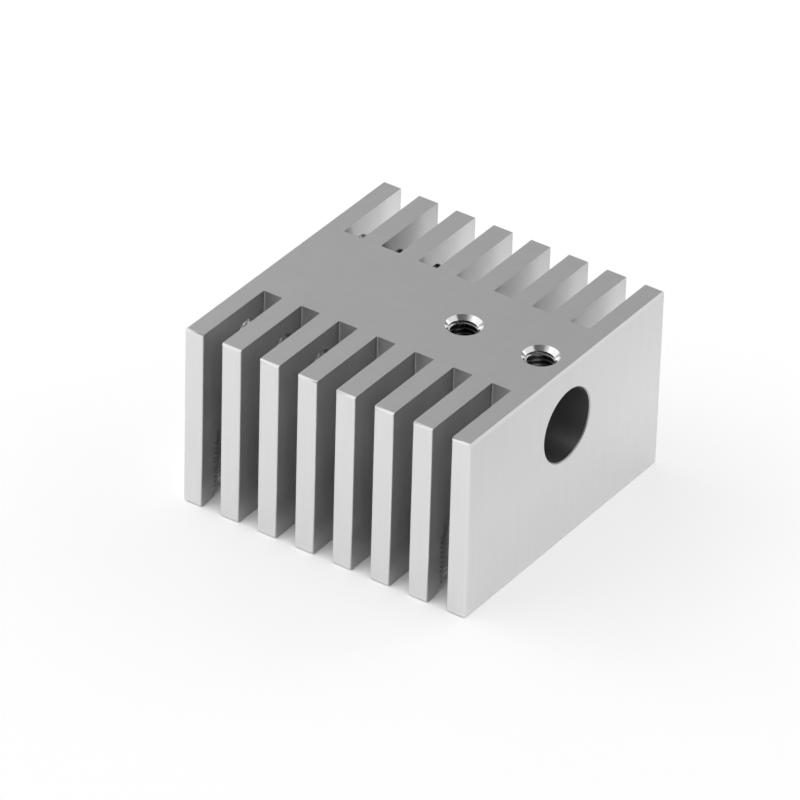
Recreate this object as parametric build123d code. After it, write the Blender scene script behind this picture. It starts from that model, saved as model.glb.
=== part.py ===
# Finned aluminium heat sink for a 3-D printer hot end: one length cut from a
# finned profile, with a cross bore for the heat break, two set-screw holes down
# into that bore, and tapped holes for mounting and for a 30 mm fan.
#
# Millimetres. X runs along the bore towards the end with the set screws, Y
# points out through the open ends of the slots, and Z up from the face that
# the fan screws to. The origin is the middle of that lower face.
import os
from math import radians, tan
from build123d import *

# Profile: fins on both sides of a core, counted along X
FIN_COUNT = 8
FIN_THICKNESS = 2.0
SLOT_WIDTH = 2.0
SLOT_DEPTH = 9.0
CORE_WIDTH = 12.0
CORNER_RADIUS = 0.35
FIN_TIP_RADIUS = 0.2
SLOT_ROOT_RADIUS = 0.15

# Length that is cut off, and the break round its outside and at the bore
HEIGHT = 18.0
EDGE_BREAK = 0.2
BORE_EDGE_BREAK = 0.1

# Bore that takes the heat break
BORE_DIAMETER = 7.0
BORE_BELOW_TOP = 6.0

# Holes tapped M3, drawn at the size of the tap drill
TAP_DRILL_DIAMETER = 2.5
DRILL_POINT_ANGLE = 118.0
COUNTERSINK_DIAMETER = 3.4

# Set screws that hold the heat break, measured from the +X end
SET_SCREW_FROM_END = 3.0
SET_SCREW_SPACING = 8.0

# Mounting screws, side by side in the -X end and through its first fins
MOUNT_SPACING = 17.0
MOUNT_BELOW_TOP = 3.0
MOUNT_FINS_CROSSED = 3

# Fan screws, which bite between the outermost fins from below
FAN_SCREW_SPACING = 24.0
FAN_DRILL_DEPTH = 7.0
FAN_COUNTERSINK_DIAMETER = 4.4

# Worked out from the sizes above
FIN_PITCH = FIN_THICKNESS + SLOT_WIDTH
LENGTH = FIN_COUNT * FIN_PITCH - SLOT_WIDTH
WIDTH = CORE_WIDTH + 2 * SLOT_DEPTH
END_X = LENGTH / 2
OUTER_SLOT_X = END_X - FIN_THICKNESS - SLOT_WIDTH / 2
BORE_Z = HEIGHT - BORE_BELOW_TOP


def profile():
    """The section that is the same at every height, with its corners rounded."""
    plan = Rectangle(LENGTH, WIDTH)
    slot_y = (CORE_WIDTH + SLOT_DEPTH) / 2
    for slot in range(FIN_COUNT - 1):
        slot_x = slot * FIN_PITCH - OUTER_SLOT_X
        for side in (-1, 1):
            plan -= Pos(slot_x, side * slot_y) * Rectangle(SLOT_WIDTH, SLOT_DEPTH)
    rows = plan.vertices().group_by(Axis.Y)
    plan = fillet(rows[1] + rows[2], SLOT_ROOT_RADIUS)
    rows = plan.vertices().group_by(Axis.Y)
    plan = fillet((rows[0] + rows[-1]).sort_by(Axis.X)[2:-2], FIN_TIP_RADIUS)
    columns = plan.vertices().group_by(Axis.X)
    return fillet(columns[0] + columns[-1], CORNER_RADIUS)


def finned_block():
    """A length of the profile, broken round the outside. The rims of the slots stay sharp."""
    bar = extrude(fillet(Rectangle(LENGTH, WIDTH).vertices(), CORNER_RADIUS), HEIGHT)
    outlines = bar.edges().group_by(Axis.Z)
    return extrude(profile(), HEIGHT) & chamfer(outlines[0] + outlines[-1], EDGE_BREAK)


def bored(block):
    """The block with the bore right through it and both rims broken."""
    block -= Pos(0, 0, BORE_Z) * Rot(0, 90, 0) * Cylinder(BORE_DIAMETER / 2, LENGTH)
    rims = block.edges().filter_by(GeomType.CIRCLE).sort_by(SortBy.RADIUS)[-2:]
    return chamfer(rims, BORE_EDGE_BREAK)


def tapped_hole(depth, mouth_diameter):
    """Cutter from the origin down -Z: 90 degree mouth, drilling, drill point."""
    mouth = mouth_diameter / 2
    drill = TAP_DRILL_DIAMETER / 2
    point = drill / tan(radians(DRILL_POINT_ANGLE / 2))
    half = Plane.XZ * make_face(
        Polyline((0, 0), (mouth, 0), (drill, drill - mouth), (drill, -depth), (0, -depth - point), (0, 0))
    )
    return revolve(half, Axis.Z)


def set_screw_holes():
    """Two holes down into the bore."""
    hole = tapped_hole(BORE_BELOW_TOP, COUNTERSINK_DIAMETER)
    first_x = END_X - SET_SCREW_FROM_END
    return [Pos(first_x - step * SET_SCREW_SPACING, 0, HEIGHT) * hole for step in (0, 1)]


def mounting_holes():
    """Two holes along X from the -X end, ending in a dimple in the next fin."""
    hole = tapped_hole(MOUNT_FINS_CROSSED * FIN_PITCH, COUNTERSINK_DIAMETER)
    mount_z = HEIGHT - MOUNT_BELOW_TOP
    return [
        Plane((-END_X, side * MOUNT_SPACING / 2, mount_z), z_dir=(-1, 0, 0)) * hole
        for side in (-1, 1)
    ]


def fan_screw_holes():
    """Four holes up from the lower face, on the middle lines of the outermost slots."""
    hole = tapped_hole(FAN_DRILL_DEPTH, FAN_COUNTERSINK_DIAMETER)
    return [
        Plane((end * OUTER_SLOT_X, side * FAN_SCREW_SPACING / 2, 0), z_dir=(0, 0, -1)) * hole
        for end in (-1, 1)
        for side in (-1, 1)
    ]


def heat_sink():
    body = bored(finned_block())
    body -= set_screw_holes()
    body -= mounting_holes()
    body -= fan_screw_holes()
    body.label = "heat_sink"
    return body


os.makedirs("parts", exist_ok=True)
export_step(heat_sink(), "parts/heat_sink.step")
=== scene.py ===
# Finned aluminium heat sink, dressed for looks: one length of a finned profile
# with a bore and eight tapped holes, on a white floor under soft studio light.
import math
import bmesh
import bpy
from mathutils import Euler, Matrix, Vector


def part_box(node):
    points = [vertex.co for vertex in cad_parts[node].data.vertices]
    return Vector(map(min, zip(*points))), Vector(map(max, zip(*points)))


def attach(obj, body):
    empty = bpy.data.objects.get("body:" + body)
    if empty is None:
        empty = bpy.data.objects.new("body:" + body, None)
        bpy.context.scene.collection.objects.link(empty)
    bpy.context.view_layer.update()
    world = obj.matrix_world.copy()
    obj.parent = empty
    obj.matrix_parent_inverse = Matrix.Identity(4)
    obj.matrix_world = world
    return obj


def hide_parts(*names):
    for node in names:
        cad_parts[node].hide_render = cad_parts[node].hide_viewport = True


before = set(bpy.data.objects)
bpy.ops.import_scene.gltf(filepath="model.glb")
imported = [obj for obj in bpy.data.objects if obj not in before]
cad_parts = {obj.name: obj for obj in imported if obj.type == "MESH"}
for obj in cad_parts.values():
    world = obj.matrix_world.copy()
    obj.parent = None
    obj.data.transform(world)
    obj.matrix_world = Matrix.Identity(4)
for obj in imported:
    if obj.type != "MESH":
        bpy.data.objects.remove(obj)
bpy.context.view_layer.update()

# Sizes in millimetres, as the block is made
MM = 0.001
FINS = 8
FIN_THICKNESS = 2.0
SLOT_WIDTH = 2.0
CORE_WIDTH = 12.0
CORNER_RADIUS = 0.35
FIN_TIP_RADIUS = 0.2
SLOT_ROOT_RADIUS = 0.15
EDGE_BREAK = 0.2
RIM_BREAK = 0.03
BORE_EDGE_BREAK = 0.1

BORE_RADIUS = 3.5
BORE_BELOW_TOP = 6.0

DRILL_RADIUS = 1.25
THREAD_RADIUS = 1.5
THREAD_PITCH = 0.5
THREAD_CLEARANCE = 0.05
DRILL_POINT_ANGLE = 118.0
COUNTERSINK_RADIUS = 1.7

SET_SCREW_FROM_END = 3.0
SET_SCREW_SPACING = 8.0

MOUNT_SPACING = 17.0
MOUNT_BELOW_TOP = 3.0
MOUNT_FINS_CROSSED = 3

FAN_SCREW_SPACING = 24.0
FAN_DRILL_DEPTH = 7.0
FAN_THREAD_DEPTH = 6.2
FAN_COUNTERSINK_RADIUS = 2.2

FIN_PITCH = FIN_THICKNESS + SLOT_WIDTH
LOW, HIGH = (Vector(corner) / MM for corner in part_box("heat_sink"))
LENGTH, WIDTH, HEIGHT = HIGH - LOW
END_X = LENGTH / 2
SLOT_DEPTH = (WIDTH - CORE_WIDTH) / 2
OUTER_SLOT_X = END_X - FIN_THICKNESS - SLOT_WIDTH / 2

# Smoothness of round surfaces, the bevel profile that is a true arc, how far cutters stand out of
# the block, the share of a direction that counts as facing that way, and distances that count as none
BORE_SIDES = 128
HOLE_SIDES = 64
CORNER_STEPS = 6
RIM_STEPS = 2
SHARP_ANGLE = 35.0
ARC_PROFILE = 0.5
OVERSHOOT = 1.0
MOSTLY = 0.5
CLOSE = 1e-3
WELD = 1e-4

# Camera, at the photograph's viewing angle: metres, degrees, and millimetres of film and lens
CAMERA_PLACE = (0.29504, -0.44120, 0.36455)
CAMERA_TURN = (56.133, -1.379, 34.917)
LENS = 329.28
FILM_WIDTH = 36.0
NEAREST_SEEN = 0.01


def add_camera():
    """A long lens from the photograph's side."""
    camera = bpy.data.objects.new("camera", bpy.data.cameras.new("camera"))
    camera.location = CAMERA_PLACE
    camera.rotation_euler = Euler([math.radians(turn) for turn in CAMERA_TURN])
    camera.data.sensor_width = FILM_WIDTH
    camera.data.lens = LENS
    camera.data.clip_start = NEAREST_SEEN
    bpy.context.scene.collection.objects.link(camera)
    bpy.context.scene.camera = camera


# Node shorthands, for materials and for geometry
def node(tree, kind, inputs=None, output=0, **settings):
    """Adds a node, fills its sockets with values or links, and returns one of its outputs."""
    made = tree.nodes.new(kind)
    for name, value in settings.items():
        setattr(made, name, value)
    for key, value in (inputs or {}).items():
        if isinstance(value, bpy.types.NodeSocket):
            tree.links.new(value, made.inputs[key])
        else:
            made.inputs[key].default_value = value
    return made.outputs[output]


def calc(tree, operation, *values):
    """A Math node on values or links."""
    return node(tree, "ShaderNodeMath", dict(enumerate(values)), operation=operation)


# Marks in the metal: broad patches and streaks, how far they change its shade and
# gloss, the blue in its grey, and the depth of the streaks. Sizes in mm
PATCH_SIZE = 4.0
PATCH_SHARE = 0.4
NOISE_DETAIL = 2.0
NOISE_FADE = 0.5
NOISE_RANGE = (0.3, 0.7)
MIDDLE = 0.5
SPREAD = 0.02
GLOSS_SPREAD = 0.12
COOL = 0.004
RELIEF = 0.0002


def streaked_grey(tree, grey, stretch, streak_size):
    """A grey with faint streaks and broad soft patches, the mix of both that it follows, and the streaks."""
    place = node(tree, "ShaderNodeTexCoord", output="Object")
    stretched = node(tree, "ShaderNodeMapping", {"Vector": place, "Scale": stretch})
    streak, patch = (
        node(
            tree, "ShaderNodeTexNoise",
            {"Vector": spot, "Scale": 1 / (size * MM), "Detail": NOISE_DETAIL, "Roughness": NOISE_FADE},
            "Fac",
        )
        for spot, size in ((stretched, streak_size), (place, PATCH_SIZE))
    )
    both = node(tree, "ShaderNodeMix", {0: PATCH_SHARE, 2: streak, 3: patch}, data_type="FLOAT")
    low, high = NOISE_RANGE
    even = node(tree, "ShaderNodeMapRange", {"Value": both, "From Min": low, "From Max": high})
    dull, bright = (
        (grey * shade, grey * shade, (grey + COOL) * shade, 1)
        for shade in (1 - SPREAD, 1 + SPREAD)
    )
    return node(tree, "ShaderNodeMix", {0: even, 6: dull, 7: bright}, 2, data_type="RGBA"), even, streak


def metal(name, grey, roughness, stretch, streak_size):
    """Bare aluminium, whose tint, gloss and surface vary a little along its streaks."""
    material = bpy.data.materials.new(name)
    material.use_nodes = True
    tree = material.node_tree
    shader = tree.nodes["Principled BSDF"]
    shader.inputs["Metallic"].default_value = 1.0
    tint, even, streak = streaked_grey(tree, grey, stretch, streak_size)
    off_middle = calc(tree, "SUBTRACT", even, MIDDLE)
    gloss = calc(tree, "MULTIPLY_ADD", off_middle, GLOSS_SPREAD * roughness, roughness)
    relief = {"Height": streak, "Strength": 1.0, "Distance": RELIEF * MM}
    bump = node(tree, "ShaderNodeBump", relief, "Normal")
    tree.links.new(tint, shader.inputs["Base Color"])
    tree.links.new(gloss, shader.inputs["Roughness"])
    tree.links.new(bump, shader.inputs["Normal"])
    return material


def object_spot(tree):
    """The outputs for X, Y and Z in the block's own space."""
    place = node(tree, "ShaderNodeTexCoord", output="Object")
    return node(tree, "ShaderNodeSeparateXYZ", {0: place}).node.outputs


def shade_between(tree, axis, start, end, first, last):
    """A shade that goes from first to last between two places along an axis. Places in mm."""
    return node(
        tree, "ShaderNodeMapRange",
        {"Value": object_spot(tree)[axis], "From Min": start * MM, "From Max": end * MM,
         "To Min": first, "To Max": last},
    )


def shade_by_slot(tree, shades):
    """One shade for each slot, counted along X."""
    first = (FIN_THICKNESS / 2 - END_X) * MM
    share = calc(tree, "SUBTRACT", object_spot(tree)["X"], first)
    share = calc(tree, "DIVIDE", share, len(shades) * FIN_PITCH * MM)
    ramp = tree.nodes.new("ShaderNodeValToRGB")
    ramp.color_ramp.interpolation = "CONSTANT"
    stops = ramp.color_ramp.elements
    while len(stops) < len(shades):
        stops.new(1.0)
    for number, shade in enumerate(shades):
        stops[number].position = number / len(shades)
        stops[number].color = (shade, shade, shade, 1)
    tree.links.new(share, ramp.inputs[0])
    return ramp.outputs[0]


def shade_metal(tree, *shades):
    """Multiplies a metal's tint by these factors, such as painted shade and painted light."""
    base = tree.nodes["Principled BSDF"].inputs["Base Color"]
    tint = base.links[0].from_socket
    for shade in shades:
        tint = node(tree, "ShaderNodeVectorMath", {0: tint, "Scale": shade}, operation="SCALE")
    tree.links.new(tint, base)


# Painted shade and painted light on single places, as parts of the metal's own grey, and how far they reach
# in mm:
# # painted shade towards the top of the end faces, deep in the set-screw threads, at the foot, top and root
# of the
# # near slots, and at the tips, inner corners and tops of the far slots; painted light at the roots of the
# far slots.
# # Each far slot also gets its own brightness
END_TOP_PAINTED_SHADE = 0.88
END_TOP_REACH = 10.0
DEEP_THREAD_PAINTED_SHADE = 0.2
THREAD_FADE = (0.5, 1.1)
NEAR_FOOT_PAINTED_SHADE = 0.52
NEAR_FOOT_REACH = 5.0
NEAR_TOP_PAINTED_SHADE = 0.84
NEAR_TOP_REACH = 5.0
NEAR_ROOT_PAINTED_SHADE = 0.74
NEAR_ROOT_REACH = 3.0
FAR_SLOT_SHADES = (1.03, 0.77, 0.99, 0.93, 0.86, 0.88, 0.96)
FAR_ROOT_PAINTED_LIGHT = 1.14
FAR_TIP_PAINTED_SHADE = 0.81
FAR_CORNER_PAINTED_SHADE = 0.7
FAR_CORNER_REACH = 1.3
FAR_TOP_PAINTED_SHADE = 0.9
FAR_TOP_REACH = 2.5

# What each kind of face looks like. The near and far slot walls are one surface, kept as two finishes so
# that each
# # carries its own painted shade and light, and their greys differ to suit. The end faces carry painted
# shade towards
# # the top. The bored wall and the mounting threads have greys lowered as painted shade in their holes, and
# the fan
# # threads a grey raised as painted light
FINISHES = {
    # name: (grey, roughness, scale of the streaks along X, Y and Z, their size in mm)
    "cut_faces": (0.80, 0.30, (1, 1, 1), 1.2),
    "drawn_faces": (0.815, 0.30, (1, 1, 0.05), 0.5),
    "end_faces": (0.79, 0.30, (1, 1, 0.05), 0.5),
    "near_slot_walls": (0.95, 0.46, (1, 1, 0.04), 0.4),
    "far_slot_walls": (0.88, 0.33, (1, 1, 0.04), 0.4),
    "bored_wall": (0.52, 0.42, (1, 0.1, 0.1), 0.4),
    "countersinks": (0.85, 0.18, (1, 1, 1), 0.5),
    "set_screw_threads": (0.75, 0.28, (1, 1, 1), 0.5),
    "mounting_threads": (0.65, 0.30, (1, 1, 1), 0.5),
    "fan_threads": (0.95, 0.32, (1, 1, 1), 0.5),
}


def add_materials():
    """All finishes by name, with painted shade where places lie deeper or at a foot, root, corner, tip or
    top, and painted light at the roots of the far slots.
    """
    materials = {name: metal(name, *finish) for name, finish in FINISHES.items()}
    root, edge = CORE_WIDTH / 2, WIDTH / 2
    end, thread, near, far = (
        materials[name].node_tree
        for name in ("end_faces", "set_screw_threads", "near_slot_walls", "far_slot_walls")
    )
    # Painted shade: the end faces grow darker towards the top.
    shade_metal(end, shade_between(end, "Z", HEIGHT - END_TOP_REACH, HEIGHT, 1, END_TOP_PAINTED_SHADE))
    # Painted shade: the set-screw threads grow darker deeper down the hole.
    shallow, deep = (HEIGHT - depth for depth in THREAD_FADE)
    shade_metal(thread, shade_between(thread, "Z", deep, shallow, DEEP_THREAD_PAINTED_SHADE, 1))
    # Painted shade on the near slot walls: darker at the foot, at the top and towards the root.
    shade_metal(
        near, shade_between(near, "Z", 0, NEAR_FOOT_REACH, NEAR_FOOT_PAINTED_SHADE, 1),
        shade_between(near, "Z", HEIGHT - NEAR_TOP_REACH, HEIGHT, 1, NEAR_TOP_PAINTED_SHADE),
        shade_between(near, "Y", -root - NEAR_ROOT_REACH, -root, 1, NEAR_ROOT_PAINTED_SHADE),
    )
    # Far slot walls: a brightness for each slot, painted light at the root fading to painted shade at the
    # tip, and painted shade in the inner corner and along the top.
    shade_metal(
        far, shade_by_slot(far, FAR_SLOT_SHADES),
        shade_between(far, "Y", root, edge, FAR_ROOT_PAINTED_LIGHT, FAR_TIP_PAINTED_SHADE),
        shade_between(far, "Y", root, root + FAR_CORNER_REACH, FAR_CORNER_PAINTED_SHADE, 1),
        shade_between(far, "Z", HEIGHT - FAR_TOP_REACH, HEIGHT, 1, FAR_TOP_PAINTED_SHADE),
    )
    return materials


# Shapes, built in millimetres and brought to metres at the end
def link(mesh, name):
    """A mesh as an object in the scene."""
    made = bpy.data.objects.new(name, mesh)
    bpy.context.scene.collection.objects.link(made)
    return made


def plain_mesh(source, name):
    """What an object's modifiers give, as a plain mesh."""
    graph = bpy.context.evaluated_depsgraph_get()
    graph.update()
    mesh = bpy.data.meshes.new_from_object(source.evaluated_get(graph))
    mesh.name = name
    return mesh


def joined(meshes, name):
    """Several meshes as one object, each kept as it is."""
    form = bmesh.new()
    for mesh in meshes:
        form.from_mesh(mesh)
    whole = bpy.data.meshes.new(name)
    form.to_mesh(whole)
    form.free()
    for material in meshes[0].materials:
        whole.materials.append(material)
    return link(whole, name)


def turned(profile, sides, material):
    """A closed solid of revolution about Z from (radius, height) points that start and end on the axis."""
    form = bmesh.new()
    points = [form.verts.new((radius, 0, height)) for radius, height in profile]
    edges = [form.edges.new(pair) for pair in zip(points, points[1:])]
    bmesh.ops.spin(
        form, geom=points + edges, axis=(0, 0, 1), cent=(0, 0, 0), steps=sides, angle=math.tau,
        use_merge=True,
    )
    bmesh.ops.remove_doubles(form, verts=form.verts, dist=WELD)
    bmesh.ops.recalc_face_normals(form, faces=form.faces)
    mesh = bpy.data.meshes.new("turned")
    form.to_mesh(mesh)
    form.free()
    mesh.materials.append(material)
    return mesh


def placed(mesh, place, turn=(0, 0, 0)):
    """A copy of a mesh, turned by degrees about X, Y and Z and then moved to its place."""
    copy = mesh.copy()
    copy.transform(Matrix.LocRotScale(Vector(place), Euler([math.radians(a) for a in turn]), None))
    return copy


# Where each tapped hole starts, and the turn that points its mouth outwards from +Z
def set_screw_places():
    """Down from the top, one behind the other."""
    first = END_X - SET_SCREW_FROM_END
    return [((first - step * SET_SCREW_SPACING, 0, HEIGHT), (0, 0, 0)) for step in (0, 1)]


def mounting_places():
    """In from the -X end, side by side."""
    height = HEIGHT - MOUNT_BELOW_TOP
    return [((-END_X, side * MOUNT_SPACING / 2, height), (0, -90, 0)) for side in (-1, 1)]


def fan_screw_places():
    """Up from the lower face, on a square."""
    return [
        ((end * OUTER_SLOT_X, side * FAN_SCREW_SPACING / 2, 0), (180, 0, 0))
        for end in (-1, 1)
        for side in (-1, 1)
    ]


def geometry_tree(name, sizes):
    """An empty geometry tree with named inputs. Returns it with its input sockets by name."""
    tree = bpy.data.node_groups.new(name, "GeometryNodeTree")
    tree.interface.new_socket("Geometry", in_out="INPUT", socket_type="NodeSocketGeometry")
    for size, kind in sizes.items():
        tree.interface.new_socket(size, in_out="INPUT", socket_type="NodeSocket" + kind)
    tree.interface.new_socket("Geometry", in_out="OUTPUT", socket_type="NodeSocketGeometry")
    given = tree.nodes.new("NodeGroupInput")
    return tree, {socket.name: socket for socket in given.outputs if socket.name}


def finish_tree(tree, geometry, material, selection=True):
    """Ends a tree in plain geometry, with a material on the faces chosen."""
    real = node(tree, "GeometryNodeRealizeInstances", {"Geometry": geometry})
    painted = node(
        tree, "GeometryNodeSetMaterial", {"Geometry": real, "Selection": selection, "Material": material},
    )
    ending = tree.nodes.new("NodeGroupOutput")
    tree.links.new(painted, ending.inputs[0])


def grown(tree, name, values):
    """The plain mesh that a tree gives for these values."""
    host = link(bpy.data.meshes.new(name), name)
    modifier = host.modifiers.new(name, "NODES")
    modifier.node_group = tree
    for item in tree.interface.items_tree:
        if item.in_out == "INPUT" and item.name in values:
            modifier[item.identifier] = values[item.name]
    mesh = plain_mesh(host, name)
    bpy.data.objects.remove(host)
    return mesh


def finned_block_tree():
    """A block standing on z = 0, with rows of slots along X on its two long sides."""
    tree, size = geometry_tree("finned_block", {
        "Slots": "Int", "Pitch": "Float", "Slot Width": "Float", "Slot Depth": "Float",
        "Length": "Float", "Width": "Float", "Height": "Float",
        "Side Material": "Material", "Near Slot Material": "Material", "Far Slot Material": "Material",
        "End Material": "Material", "Cut Material": "Material",
    })
    half_height = calc(tree, "MULTIPLY", size["Height"], 0.5)
    middle = node(tree, "ShaderNodeCombineXYZ", {"Z": half_height})
    extent = {"X": size["Length"], "Y": size["Width"], "Z": size["Height"]}
    extent = node(tree, "ShaderNodeCombineXYZ", extent)
    block = node(tree, "GeometryNodeMeshCube", {"Size": extent})
    block = node(tree, "GeometryNodeTransform", {"Geometry": block, "Translation": middle})
    block = node(tree, "GeometryNodeSetMaterial", {"Geometry": block, "Material": size["Side Material"]})
    facing = node(tree, "ShaderNodeSeparateXYZ", {0: node(tree, "GeometryNodeInputNormal")}).node.outputs
    endwise = calc(tree, "GREATER_THAN", calc(tree, "ABSOLUTE", facing["X"]), MOSTLY)
    block = node(
        tree, "GeometryNodeSetMaterial",
        {"Geometry": block, "Selection": endwise, "Material": size["End Material"]},
    )

    # Each slot's cutter stands out of the block by a slot's depth, and by its height above and below
    reach = calc(tree, "MULTIPLY", size["Slot Depth"], 2.0)
    tall = calc(tree, "MULTIPLY", size["Height"], 3.0)
    slot = node(tree, "ShaderNodeCombineXYZ", {"X": size["Slot Width"], "Y": reach, "Z": tall})
    slot = node(tree, "GeometryNodeMeshCube", {"Size": slot})
    row_length = calc(tree, "MULTIPLY", calc(tree, "SUBTRACT", size["Slots"], 1.0), size["Pitch"])
    first = calc(tree, "MULTIPLY", row_length, -0.5)
    step = node(tree, "ShaderNodeCombineXYZ", {"X": size["Pitch"]})
    slots = tree.nodes.new("GeometryNodeJoinGeometry")
    for side, material in ((-0.5, "Near Slot Material"), (0.5, "Far Slot Material")):
        edge = calc(tree, "MULTIPLY", size["Width"], side)
        start = node(tree, "ShaderNodeCombineXYZ", {"X": first, "Y": edge, "Z": half_height})
        row = {"Count": size["Slots"], "Start Location": start, "Offset": step}
        row = node(tree, "GeometryNodeMeshLine", row)
        finished = node(tree, "GeometryNodeSetMaterial", {"Geometry": slot, "Material": size[material]})
        row = node(tree, "GeometryNodeInstanceOnPoints", {"Points": row, "Instance": finished})
        tree.links.new(row, slots.inputs[0])
    slots = node(tree, "GeometryNodeRealizeInstances", {"Geometry": slots.outputs[0]})

    finned = node(
        tree, "GeometryNodeMeshBoolean", {"Mesh 1": block, "Mesh 2": slots},
        operation="DIFFERENCE", solver="EXACT",
    )
    level = calc(tree, "GREATER_THAN", calc(tree, "ABSOLUTE", facing["Z"]), MOSTLY)
    finish_tree(tree, finned, size["Cut Material"], level)
    return tree


# The 60 degree thread, in parts of its pitch: flat at the core, slope, flat at the crest
CORE_FLAT = 0.25
FLANK = 0.3125
CREST_FLAT = 0.125
CORNERS_PER_TURN = 4


def thread_tree():
    """A closed screw-shaped body about Z from Low to High, which fades to plain at both ends."""
    tree, size = geometry_tree("screw_thread", {
        "Low": "Float", "High": "Float", "Core Radius": "Float", "Crest Radius": "Float",
        "Pitch": "Float", "Run-out": "Float", "Sides": "Int", "Material": "Material",
    })
    length = calc(tree, "SUBTRACT", size["High"], size["Low"])
    # Enough turns to pass both ends, where the clamp below holds them level
    turns = calc(tree, "ADD", calc(tree, "CEIL", calc(tree, "DIVIDE", length, size["Pitch"])), 2.0)
    last = calc(tree, "ADD", calc(tree, "MULTIPLY", turns, CORNERS_PER_TURN), 1.0)
    grid = node(
        tree, "GeometryNodeMeshGrid",
        {"Size X": 1.0, "Size Y": 1.0, "Vertices X": calc(tree, "ADD", size["Sides"], 1.0),
         "Vertices Y": calc(tree, "ADD", last, 1.0)},
    )
    spot = node(tree, "ShaderNodeSeparateXYZ", {0: node(tree, "GeometryNodeInputPosition")})
    around = calc(tree, "ADD", spot.node.outputs["X"], 0.5)
    row = calc(tree, "ROUND", calc(tree, "MULTIPLY", calc(tree, "ADD", spot.node.outputs["Y"], 0.5), last))
    helical = calc(tree, "SUBTRACT", row, 1.0)
    turn = calc(tree, "FLOOR", calc(tree, "DIVIDE", helical, CORNERS_PER_TURN))
    corner = calc(tree, "SUBTRACT", helical, calc(tree, "MULTIPLY", turn, CORNERS_PER_TURN))
    # Corners 0 and 1 lie at the core, 2 and 3 on the crest
    ridge = calc(tree, "GREATER_THAN", corner, 1.5)
    past_crest = calc(tree, "GREATER_THAN", corner, 2.5)
    share = calc(tree, "MULTIPLY", corner, CORE_FLAT)
    share = calc(tree, "MULTIPLY_ADD", ridge, FLANK - CORE_FLAT, share)
    share = calc(tree, "MULTIPLY_ADD", past_crest, CREST_FLAT - CORE_FLAT, share)
    rise = calc(tree, "SUBTRACT", calc(tree, "ADD", calc(tree, "ADD", turn, around), share), 1.0)
    height = calc(tree, "ADD", size["Low"], calc(tree, "MULTIPLY", rise, size["Pitch"]))
    height = node(tree, "ShaderNodeClamp", {"Value": height, "Min": size["Low"], "Max": size["High"]})
    in_low = calc(tree, "DIVIDE", calc(tree, "SUBTRACT", height, size["Low"]), size["Run-out"])
    in_high = calc(tree, "DIVIDE", calc(tree, "SUBTRACT", size["High"], height), size["Run-out"])
    fade = calc(tree, "MINIMUM", calc(tree, "MINIMUM", in_low, in_high), 1.0)
    stand = calc(tree, "SUBTRACT", size["Crest Radius"], size["Core Radius"])
    stand = calc(tree, "MULTIPLY", calc(tree, "MULTIPLY", stand, ridge), fade)
    radius = calc(tree, "ADD", size["Core Radius"], stand)
    at_ends = calc(
        tree, "MINIMUM", calc(tree, "GREATER_THAN", row, 0.5),
        calc(tree, "LESS_THAN", row, calc(tree, "SUBTRACT", last, 0.5)),
    )
    radius = calc(tree, "MULTIPLY", radius, at_ends)
    angle = calc(tree, "MULTIPLY", around, math.tau)
    spot = node(
        tree, "ShaderNodeCombineXYZ",
        {"X": calc(tree, "MULTIPLY", radius, calc(tree, "COSINE", angle)),
         "Y": calc(tree, "MULTIPLY", radius, calc(tree, "SINE", angle)), "Z": height},
    )
    shaped = node(tree, "GeometryNodeSetPosition", {"Geometry": grid, "Position": spot})
    welded = node(tree, "GeometryNodeMergeByDistance", {"Geometry": shaped, "Distance": WELD})
    finish_tree(tree, welded, size["Material"])
    return tree


def facing_out(mesh):
    """The mesh with all its faces turned outwards."""
    form = bmesh.new()
    form.from_mesh(mesh)
    bmesh.ops.recalc_face_normals(form, faces=form.faces)
    form.to_mesh(mesh)
    form.free()
    return mesh


def drilling(depth, mouth, mouth_material, wall_material):
    """A tap drill's cut down -Z with its 90 degree mouth and its point."""
    point = DRILL_RADIUS / math.tan(math.radians(DRILL_POINT_ANGLE / 2))
    profile = [
        (0, OVERSHOOT), (mouth + OVERSHOOT, OVERSHOOT), (DRILL_RADIUS, DRILL_RADIUS - mouth),
        (DRILL_RADIUS, -depth), (0, -depth - point),
    ]
    mesh = turned(profile, HOLE_SIDES, mouth_material)
    mesh.materials.append(wall_material)
    for face in mesh.polygons:
        face.material_index = int(face.center.z < DRILL_RADIUS - mouth)
    return mesh


def tap(tree, depth, material):
    """A tap's cut down -Z. Its core stays inside the drilled wall, so only the thread shows."""
    return facing_out(grown(tree, "thread", {
        "Low": -depth, "High": OVERSHOOT, "Core Radius": DRILL_RADIUS - THREAD_CLEARANCE,
        "Crest Radius": THREAD_RADIUS, "Pitch": THREAD_PITCH, "Run-out": THREAD_PITCH,
        "Sides": HOLE_SIDES, "Material": material,
    }))


def round_uprights(mesh):
    """Rounds the upright edges of the profile: slot roots, fin tips, then the block's corners."""
    form = bmesh.new()
    form.from_mesh(mesh)
    for radius, reach_x, reach_y in (
        (SLOT_ROOT_RADIUS, None, CORE_WIDTH / 2),
        (FIN_TIP_RADIUS, None, WIDTH / 2),
        (CORNER_RADIUS, END_X, WIDTH / 2),
    ):
        edges = [edge for edge in form.edges if is_upright(edge, reach_x, reach_y)]
        bmesh.ops.bevel(
            form, geom=edges, offset=radius, segments=CORNER_STEPS, profile=ARC_PROFILE,
            affect="EDGES", material=-1,
        )
    form.to_mesh(mesh)
    form.free()


def is_upright(edge, reach_x, reach_y):
    """Whether an edge runs along Z this far out along Y, at the end face or else inside it."""
    low, high = (vertex.co for vertex in edge.verts)
    if math.dist(low.xy, high.xy) > CLOSE or abs(abs(low.y) - reach_y) > CLOSE:
        return False
    at_end = abs(abs(low.x) - END_X) < CLOSE
    return at_end == (reach_x is not None)


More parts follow.
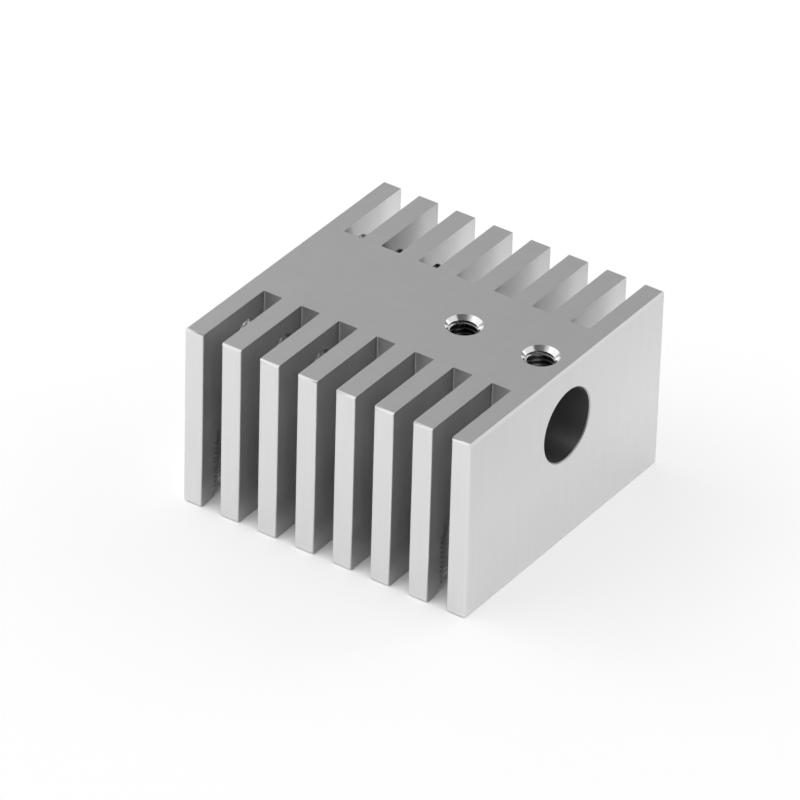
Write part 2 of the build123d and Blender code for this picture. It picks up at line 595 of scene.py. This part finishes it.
def break_outside(mesh, material):
    """Takes the sharp edge off round the outside of the block, above and below."""
    form = bmesh.new()
    form.from_mesh(mesh)
    for side in (Vector((END_X, 0, 0)), Vector((0, WIDTH / 2, 0))):
        for out in (side, -side):
            for height, rise in ((HEIGHT, 1), (0, -1)):
                away = out.normalized()
                sliced = bmesh.ops.bisect_plane(
                    form, geom=form.verts[:] + form.edges[:] + form.faces[:], clear_outer=True,
                    plane_co=out - EDGE_BREAK * away + Vector((0, 0, height)),
                    plane_no=away + Vector((0, 0, rise)),
                )
                rims = [part for part in sliced["geom_cut"] if isinstance(part, bmesh.types.BMEdge)]
                bmesh.ops.edgeloop_fill(form, edges=rims, mat_nr=mesh.materials.find(material.name))
    form.to_mesh(mesh)
    form.free()


def cut(block, tool):
    """Takes a tool's body out of the block. The cut faces keep the tool's finish."""
    modifier = block.modifiers.new(tool.name, "BOOLEAN")
    modifier.operation = "DIFFERENCE"
    modifier.solver = "MANIFOLD"
    modifier.material_mode = "TRANSFER"
    modifier.object = tool


def reamer(materials):
    """The bore's cutter, which widens by the edge break at both end faces."""
    end = END_X + OVERSHOOT
    wide = BORE_RADIUS + BORE_EDGE_BREAK + OVERSHOOT
    mesh = turned([
        (0, -end), (wide, -end), (BORE_RADIUS, BORE_EDGE_BREAK - END_X),
        (BORE_RADIUS, END_X - BORE_EDGE_BREAK), (wide, end), (0, end),
    ], BORE_SIDES, materials["bored_wall"])
    return link(placed(mesh, (0, 0, HEIGHT - BORE_BELOW_TOP), (0, 90, 0)), "reamer")


def drills_and_taps(materials):
    """Cutters for all tapped holes, as objects that drill them and objects that cut their threads."""
    threads = thread_tree()
    mount_depth = MOUNT_FINS_CROSSED * FIN_PITCH
    tools = []
    for name, places, depth, thread_depth, mouth in (
        ("set_screw", set_screw_places(), BORE_BELOW_TOP, BORE_BELOW_TOP, COUNTERSINK_RADIUS),
        ("mounting", mounting_places(), mount_depth, mount_depth - THREAD_PITCH, COUNTERSINK_RADIUS),
        ("fan", fan_screw_places(), FAN_DRILL_DEPTH, FAN_THREAD_DEPTH, FAN_COUNTERSINK_RADIUS),
    ):
        wall = materials[name + "_threads"]
        drill = drilling(depth, mouth, materials["countersinks"], wall)
        thread = tap(threads, thread_depth, wall)
        tools.append(joined([placed(drill, *place) for place in places], name + "_drills"))
        tools.append(joined([placed(thread, *place) for place in places], name + "_taps"))
    return tools


def heat_sink(materials):
    """A length of finned profile, its cut edges broken, then bored, drilled and tapped."""
    mesh = grown(finned_block_tree(), "finned_block", {
        "Slots": FINS - 1, "Pitch": FIN_PITCH, "Slot Width": SLOT_WIDTH, "Slot Depth": SLOT_DEPTH,
        "Length": LENGTH, "Width": WIDTH, "Height": HEIGHT,
        "Side Material": materials["drawn_faces"], "End Material": materials["end_faces"],
        "Near Slot Material": materials["near_slot_walls"],
        "Far Slot Material": materials["far_slot_walls"],
        "Cut Material": materials["cut_faces"],
    })
    round_uprights(mesh)
    break_outside(mesh, materials["cut_faces"])
    block = link(mesh, "finned_block")
    rim_break = block.modifiers.new("rim_break", "BEVEL")
    rim_break.width = RIM_BREAK
    rim_break.segments = RIM_STEPS
    rim_break.limit_method = "ANGLE"
    rim_break.angle_limit = math.radians(SHARP_ANGLE)
    tools = reamer(materials), *drills_and_taps(materials)
    for tool in tools:
        cut(block, tool)
    whole = plain_mesh(block, "heat_sink_block")
    for helper in (block, *tools):
        bpy.data.objects.remove(helper)

    whole.transform(Matrix.Scale(MM, 4))
    whole.shade_smooth()
    whole.set_sharp_from_angle(angle=math.radians(SHARP_ANGLE))
    soft = link(whole, "soft_block")
    normals = soft.modifiers.new("flat_faces_stay_flat", "WEIGHTED_NORMAL")
    normals.keep_sharp = True
    piece = link(plain_mesh(soft, "heat_sink_block"), "heat_sink_block")
    bpy.data.objects.remove(soft)
    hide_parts("heat_sink")
    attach(piece, "root")


# Studio. Headings are in degrees round from behind the camera, + to its right
STUDIO_RADIUS = 0.8
CAMERA_HEADING = math.degrees(math.atan2(CAMERA_PLACE[1], CAMERA_PLACE[0]))
FLOOR_REACH = 3.0
FLOOR_WHITE = 0.93
FLOOR_LIFT = 0.52
MIRRORED_LIFT = 0.45
PAPER_ROUGHNESS = 0.9
CONTACT_REACH = 0.02
CONTACT_GAIN = 2.0
CONTACT_SAMPLES = 8
ROOM_GREY = 0.08
SOFTBOXES = {
    # name: (heading, height in degrees, width, height in metres, watts)
    "right_softbox": (90, 36, 1.1, 0.55, 1.45),
    "left_softbox": (-90, 36, 1.1, 0.55, 1.1),
    "back_right_softbox": (135, 30, 0.5, 0.5, 0.46),
    "back_left_softbox": (-135, 30, 0.9, 0.7, 0.85),
    "back_softbox": (180, 34, 0.6, 0.6, 0.38),
    "high_left_softbox": (-90, 65, 0.9, 0.9, 1.45),
    "front_softbox": (0, 40, 1.0, 0.6, 0.14),
}


def add_floor():
    """White paper, lifted to white for the camera and in mirror images, but not beside the block."""
    form = bmesh.new()
    bmesh.ops.create_grid(form, x_segments=1, y_segments=1, size=FLOOR_REACH)
    mesh = bpy.data.meshes.new("floor")
    form.to_mesh(mesh)
    form.free()
    floor = link(mesh, "floor")
    material = bpy.data.materials.new("white_paper")
    material.use_nodes = True
    tree = material.node_tree
    shader = tree.nodes["Principled BSDF"]
    shader.inputs["Base Color"].default_value = (FLOOR_WHITE, FLOOR_WHITE, FLOOR_WHITE, 1)
    shader.inputs["Roughness"].default_value = PAPER_ROUGHNESS
    shader.inputs["Specular IOR Level"].default_value = 0.0
    seen = tree.nodes.new("ShaderNodeLightPath")
    clear = node(
        tree, "ShaderNodeAmbientOcclusion", {"Distance": CONTACT_REACH}, "AO", samples=CONTACT_SAMPLES,
    )
    clear = calc(tree, "MINIMUM", calc(tree, "MULTIPLY", clear, CONTACT_GAIN), 1.0)
    mirrored = calc(tree, "MAXIMUM", seen.outputs["Is Glossy Ray"], seen.outputs["Is Transmission Ray"])
    direct = calc(tree, "MULTIPLY", seen.outputs["Is Camera Ray"], FLOOR_LIFT)
    lift = calc(tree, "MULTIPLY", calc(tree, "MULTIPLY_ADD", mirrored, MIRRORED_LIFT, direct), clear)
    shader.inputs["Emission Color"].default_value = (1, 1, 1, 1)
    tree.links.new(lift, shader.inputs["Emission Strength"])
    mesh.materials.append(material)


def add_softbox(name, heading, rise, width, height, power):
    """A rectangular lamp that faces the block from this heading and this many degrees up."""
    around = math.radians(CAMERA_HEADING + heading)
    up = math.radians(rise)
    out = math.cos(up)
    place = STUDIO_RADIUS * Vector((out * math.cos(around), out * math.sin(around), math.sin(up)))
    lamp = bpy.data.lights.new(name, "AREA")
    lamp.shape = "RECTANGLE"
    lamp.size = width
    lamp.size_y = height
    lamp.energy = power
    holder = bpy.data.objects.new(name, lamp)
    holder.location = place
    holder.rotation_euler = (-place).to_track_quat("-Z", "Y").to_euler()
    bpy.context.scene.collection.objects.link(holder)


def add_studio():
    """The floor, the lamps and the dim room round them."""
    add_floor()
    for name, setting in SOFTBOXES.items():
        add_softbox(name, *setting)
    world = bpy.data.worlds.new("studio")
    world.use_nodes = True
    bpy.context.scene.world = world
    world.node_tree.nodes["Background"].inputs["Color"].default_value = (ROOM_GREY, ROOM_GREY, ROOM_GREY, 1)


add_camera()
add_studio()
heat_sink(add_materials())
bpy.context.scene.view_settings.view_transform = "Standard"
